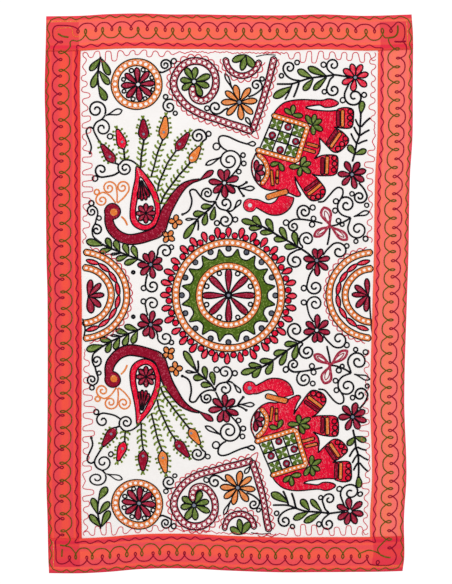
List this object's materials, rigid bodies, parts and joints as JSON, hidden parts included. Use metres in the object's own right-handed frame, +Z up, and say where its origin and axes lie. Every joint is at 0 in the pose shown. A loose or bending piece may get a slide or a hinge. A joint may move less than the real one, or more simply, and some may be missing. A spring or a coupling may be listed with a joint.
{
  "type": "embroidered wall tapestry",
  "caption": "Embroidered wall tapestry: a cream cotton sheet with a red border, covered in chain-stitched flowers, birds, elephants and medallions, with small round mirrors.",
  "frame": {"origin": "middle of the top edge, at the back of the cloth, where it touches the wall", "axes": "+X to the right as seen from the front, +Y into the wall (the worked face looks along -Y), +Z up"},
  "size_m": [0.9942, 0.0151, 1.5102],
  "materials": {
    "ground_cotton": "plain-woven cream cotton, worked over in chain stitch with red, crimson, orange, green and black thread",
    "border_cotton": "thin coral-red cotton, a deeper red where the hems double it",
    "mirror": "small round silvered glass"
  },
  "bodies": {
    "root": {"border_bottom": "border_cotton", "border_left": "border_cotton", "border_right": "border_cotton", "border_top": "border_cotton", "ground_cloth": "ground_cotton", "mirror_lower_blanket_1": "mirror", "mirror_lower_blanket_2": "mirror", "mirror_lower_blanket_3": "mirror", "mirror_lower_blanket_4": "mirror", "mirror_lower_corner_flower": "mirror", "mirror_lower_edge_flower": "mirror", "mirror_lower_feather_1": "mirror", "mirror_lower_feather_2": "mirror", "mirror_lower_feather_3": "mirror", "mirror_lower_feather_4": "mirror", "mirror_lower_feather_5": "mirror", "mirror_lower_feather_6": "mirror", "mirror_lower_green_flower": "mirror", "mirror_lower_left_flower": "mirror", "mirror_lower_middle_flower": "mirror", "mirror_lower_orange_flower": "mirror", "mirror_lower_right_flower": "mirror", "mirror_lower_rosette": "mirror", "mirror_lower_trunk": "mirror", "mirror_medallion_middle": "mirror", "mirror_ring_01": "mirror", "mirror_ring_02": "mirror", "mirror_ring_03": "mirror", "mirror_ring_04": "mirror", "mirror_ring_05": "mirror", "mirror_ring_06": "mirror", "mirror_ring_07": "mirror", "mirror_ring_08": "mirror", "mirror_ring_09": "mirror", "mirror_ring_10": "mirror", "mirror_ring_11": "mirror", "mirror_ring_12": "mirror", "mirror_ring_13": "mirror", "mirror_ring_14": "mirror", "mirror_ring_15": "mirror", "mirror_ring_16": "mirror", "mirror_upper_blanket_1": "mirror", "mirror_upper_blanket_2": "mirror", "mirror_upper_blanket_3": "mirror", "mirror_upper_blanket_4": "mirror", "mirror_upper_corner_flower": "mirror", "mirror_upper_edge_flower": "mirror", "mirror_upper_feather_1": "mirror", "mirror_upper_feather_2": "mirror", "mirror_upper_feather_3": "mirror", "mirror_upper_feather_4": "mirror", "mirror_upper_feather_5": "mirror", "mirror_upper_feather_6": "mirror", "mirror_upper_green_flower": "mirror", "mirror_upper_left_flower": "mirror", "mirror_upper_middle_flower": "mirror", "mirror_upper_orange_flower": "mirror", "mirror_upper_right_flower": "mirror", "mirror_upper_rosette": "mirror", "mirror_upper_trunk": "mirror"}
  },
  "joints": []
}
